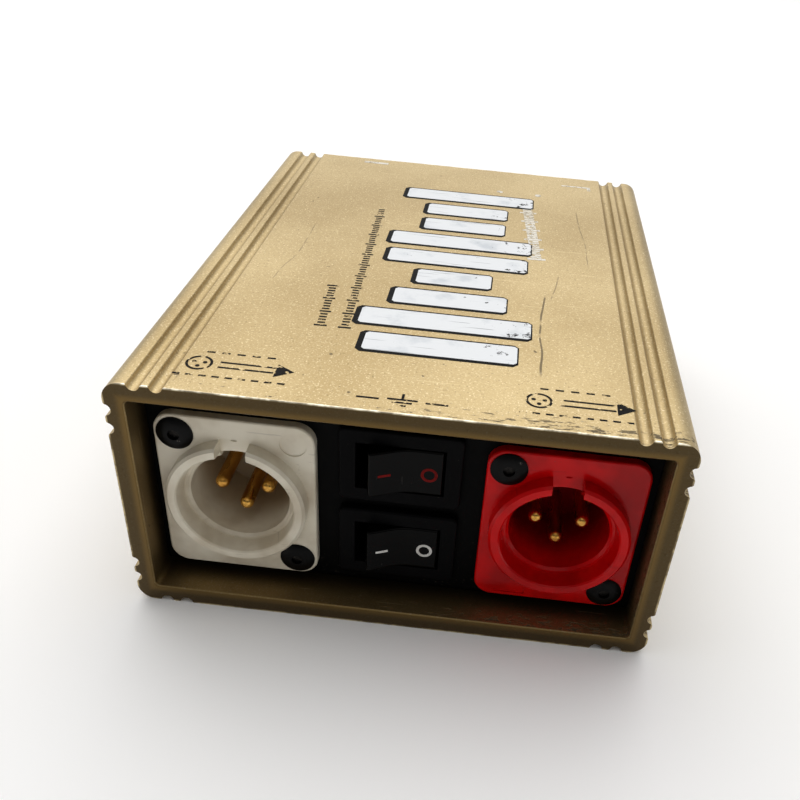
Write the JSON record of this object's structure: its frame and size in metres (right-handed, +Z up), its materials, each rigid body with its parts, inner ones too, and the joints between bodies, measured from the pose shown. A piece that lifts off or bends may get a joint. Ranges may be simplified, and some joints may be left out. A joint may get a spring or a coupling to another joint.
{
  "type": "direct injection box",
  "caption": "Passive stereo direct injection box: grooved gold aluminium sleeve over a black tray with balanced connectors, rocker switches and rear jacks.",
  "frame": {"origin": "centre of the flat underside of the sleeve, where it rests", "axes": "+Z up, -Y towards the front panel with the two balanced connectors, +X towards the red channel, along the width"},
  "size_m": [0.0888, 0.1142, 0.0444],
  "materials": {
    "gold_anodised_aluminium": "bead-blasted satin gold anodising",
    "black_coated_steel": "satin black powder coat",
    "white_moulding": "moulded ivory white, semi-gloss",
    "red_moulding": "moulded red, gloss",
    "gold_plated_contact": "gold plated, polished",
    "black_rivet": "black coated",
    "rivet_steel": "dark steel",
    "black_switch_frame": "moulded black, fine texture",
    "black_rocker": "moulded black, gloss",
    "spring_steel": "drawn wire",
    "plunger_nylon": "natural nylon",
    "contact_brass": "stamped",
    "zinc_plated_steel": "zinc plated",
    "board_laminate": "solder-masked glass laminate",
    "resistor_body": "lacquered body",
    "film_capacitor_body": "dipped film",
    "can_metal": "drawn nickel-iron can",
    "lamination_steel": "stacked laminations",
    "bobbin_plastic": "moulded",
    "winding_copper": "enamelled copper wire",
    "jack_plastic": "moulded black",
    "nickel_plate": "nickel plated",
    "phono_white_plastic": "moulded white",
    "phono_red_plastic": "moulded red",
    "phono_contact_metal": "plated",
    "wire_insulation": "PVC insulation"
  },
  "bodies": {
    "case": {"sleeve": "gold_anodised_aluminium", "tray": "black_coated_steel", "connector_housing_white": "white_moulding", "pin_carrier_white": "white_moulding", "connector_housing_red": "red_moulding", "pin_carrier_red": "red_moulding", "contact_pins_white": "gold_plated_contact", "contact_pins_red": "gold_plated_contact", "flange_rivets": "black_rivet", "rivet_mandrels": "rivet_steel", "switch_frame_upper": "black_switch_frame", "switch_frame_lower": "black_switch_frame", "switch_terminals_upper": "contact_brass", "switch_terminals_lower": "contact_brass", "clinch_nuts": "zinc_plated_steel", "case_screws": "zinc_plated_steel", "board_screws": "zinc_plated_steel", "board_spacers": "zinc_plated_steel", "circuit_board": "board_laminate", "pad_resistors": "resistor_body", "lift_capacitors": "film_capacitor_body", "transformer_can_left": "can_metal", "transformer_can_right": "can_metal", "transformer_core_left": "lamination_steel", "transformer_core_right": "lamination_steel", "transformer_bobbin_left": "bobbin_plastic", "transformer_bobbin_right": "bobbin_plastic", "transformer_feet": "bobbin_plastic", "transformer_winding_left": "winding_copper", "transformer_winding_right": "winding_copper", "minijack_body": "jack_plastic", "minijack_bushing": "nickel_plate", "minijack_nut": "nickel_plate", "minijack_lugs": "nickel_plate", "phono_barrel_white": "nickel_plate", "phono_barrel_red": "nickel_plate", "phono_nuts": "nickel_plate", "phono_ground_tags": "nickel_plate", "phono_insulator_white": "phono_white_plastic", "phono_insulator_red": "phono_red_plastic", "phono_contact_white": "phono_contact_metal", "phono_contact_red": "phono_contact_metal", "output_wires_white": "wire_insulation", "output_wires_red": "wire_insulation", "switch_wires": "wire_insulation", "minijack_wires": "wire_insulation", "phono_wires": "wire_insulation"},
    "rocker_upper": {"rocker_upper": "black_rocker", "plunger_upper": "plunger_nylon", "rocker_spring_upper": "spring_steel"},
    "rocker_lower": {"rocker_lower": "black_rocker", "plunger_lower": "plunger_nylon", "rocker_spring_lower": "spring_steel"},
    "contact_arm_upper": {"contact_arm_upper": "contact_brass"},
    "contact_arm_lower": {"contact_arm_lower": "contact_brass"}
  },
  "joints": [
    {"name": "rocker_upper_tilt", "type": "hinge", "parent": "case", "child": "rocker_upper", "pos_m": [0, -0.04825, 0.03033], "axis": [0, 0, -1], "range_deg": [0, 24]},
    {"name": "rocker_lower_tilt", "type": "hinge", "parent": "case", "child": "rocker_lower", "pos_m": [0, -0.04825, 0.01413], "axis": [0, 0, -1], "range_deg": [0, 24]},
    {"name": "contact_arm_upper_tilt", "type": "hinge", "parent": "case", "child": "contact_arm_upper", "pos_m": [0, -0.04245, 0.03033], "axis": [0, 0, -1], "range_deg": [-16, 0]},
    {"name": "contact_arm_lower_tilt", "type": "hinge", "parent": "case", "child": "contact_arm_lower", "pos_m": [0, -0.04245, 0.01413], "axis": [0, 0, -1], "range_deg": [-16, 0]}
  ],
  "couplings": [
    {"joint": "contact_arm_upper_tilt", "follows": "rocker_upper_tilt", "ratio": -0.66666},
    {"joint": "contact_arm_lower_tilt", "follows": "rocker_lower_tilt", "ratio": -0.66666}
  ]
}
